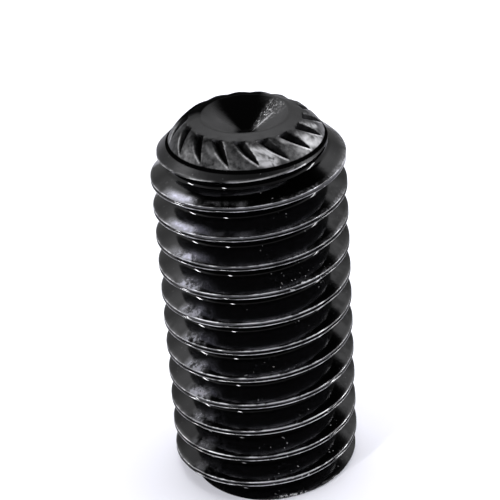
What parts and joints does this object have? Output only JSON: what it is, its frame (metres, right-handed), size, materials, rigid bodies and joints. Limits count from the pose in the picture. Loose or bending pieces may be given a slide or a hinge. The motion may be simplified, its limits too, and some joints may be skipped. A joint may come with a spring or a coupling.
{
  "type": "socket set screw",
  "caption": "Black steel grub screw with a hexagon socket in one end and a knurled cup point at the other, threaded over its whole length.",
  "frame": {"origin": "centre of the flat socket end, on the plane that the screw stands on", "axes": "+Z along the axis of the screw, from the socket end towards the cup point; the thread is right-hand about +Z"},
  "size_m": [0.0048, 0.0048, 0.01],
  "materials": {
    "black_oxide_steel": "black oxide with a film of oil, glossy"
  },
  "bodies": {
    "root": {"set_screw": "black_oxide_steel"}
  },
  "joints": []
}
